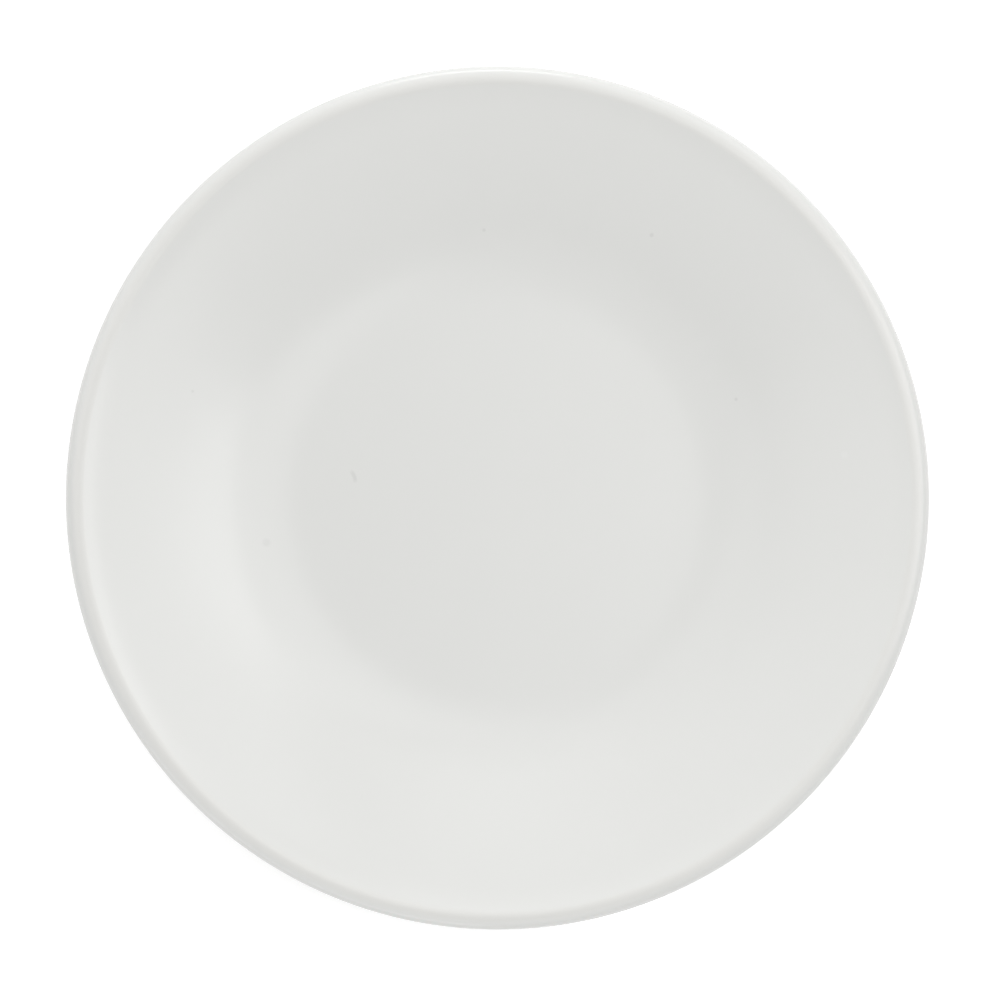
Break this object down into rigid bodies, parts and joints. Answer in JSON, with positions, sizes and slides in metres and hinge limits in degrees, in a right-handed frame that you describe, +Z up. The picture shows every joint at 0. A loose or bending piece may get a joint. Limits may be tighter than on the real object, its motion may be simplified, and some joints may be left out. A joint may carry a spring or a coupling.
{
  "type": "coupe dinner plate",
  "caption": "Round rimless dinner plate: a flat middle, one long curved wall, a small upturned lip with a rolled edge, and a foot ring below.",
  "frame": {"origin": "on the table, under the middle of the plate", "axes": "+Z up along the plate's axis; the plate is round, so X and Y are free, and the picture's right is +X and its top +Y"},
  "size_m": [0.267, 0.267, 0.0256],
  "materials": {
    "bare_clay": "fired vitrified white clay, unglazed and fine-sanded, bare only on the foot ring",
    "satin_glaze": "opaque neutral white glaze with a satin sheen and a faint orange-peel surface",
    "base_satin_glaze": "the same satin white glaze, inside the foot ring"
  },
  "bodies": {
    "root": {"clay_body": "bare_clay", "face_glaze": "satin_glaze", "base_glaze": "base_satin_glaze"}
  },
  "joints": []
}
